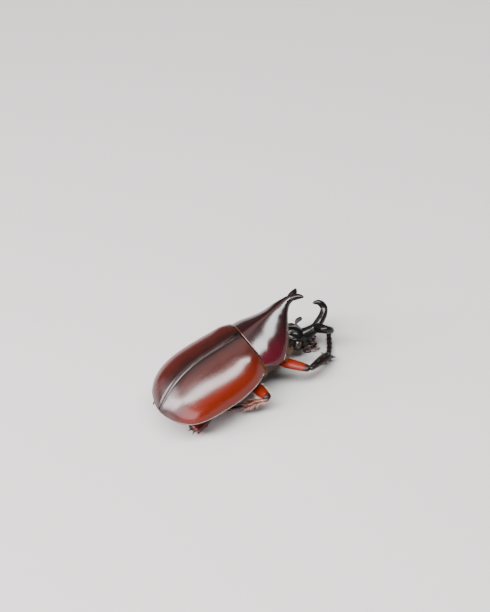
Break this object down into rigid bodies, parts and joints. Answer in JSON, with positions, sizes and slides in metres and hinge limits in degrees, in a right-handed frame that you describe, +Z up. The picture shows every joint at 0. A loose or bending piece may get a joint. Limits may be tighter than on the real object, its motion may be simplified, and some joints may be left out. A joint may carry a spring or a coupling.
{
  "type": "rhinoceros beetle",
  "caption": "Male rhinoceros beetle, a still life-size model in a walking pose, with domed wing cases, a forked horn on the pronotum and a forked curved horn on the head.",
  "frame": {"origin": "on the floor, under the middle of the model's bounding box", "axes": "+X towards the head along the body, +Y to the beetle's left, +Z up"},
  "size_m": [0.053, 0.0338, 0.0195],
  "materials": {
    "wing_case": "glossy red-brown cuticle, darker along the middle",
    "pronotum_cuticle": "glossy dark crimson cuticle",
    "black_cuticle": "glossy black cuticle",
    "red_cuticle": "satin orange-red cuticle",
    "underside": "satin dark brown cuticle with short tan hair",
    "eye": "glossy dark compound eye"
  },
  "bodies": {
    "root": {"elytron_left": "wing_case", "elytron_right": "wing_case", "scutellum": "black_cuticle", "pronotum": "pronotum_cuticle", "thoracic_horn": "black_cuticle", "prosternum": "underside", "thorax": "underside", "abdomen": "underside", "pygidium": "underside", "head": "black_cuticle", "cephalic_horn": "black_cuticle", "cephalic_tine_left": "black_cuticle", "cephalic_tine_right": "black_cuticle", "eye_left": "eye", "eye_right": "eye", "antenna_stalk_left": "black_cuticle", "antenna_stalk_right": "black_cuticle", "antenna_club_left": "red_cuticle", "antenna_club_right": "red_cuticle", "mandible_left": "black_cuticle", "mandible_right": "black_cuticle", "femur_fore_left": "red_cuticle", "femur_fore_right": "red_cuticle", "femur_mid_left": "red_cuticle", "femur_mid_right": "red_cuticle", "femur_hind_left": "red_cuticle", "femur_hind_right": "red_cuticle", "tibia_fore_left": "black_cuticle", "tibia_fore_right": "black_cuticle", "tibia_mid_left": "black_cuticle", "tibia_mid_right": "black_cuticle", "tibia_hind_left": "black_cuticle", "tibia_hind_right": "black_cuticle", "tarsus_fore_left": "black_cuticle", "tarsus_fore_right": "black_cuticle", "tarsus_mid_left": "black_cuticle", "tarsus_mid_right": "black_cuticle", "tarsus_hind_left": "black_cuticle", "tarsus_hind_right": "black_cuticle"}
  },
  "joints": []
}
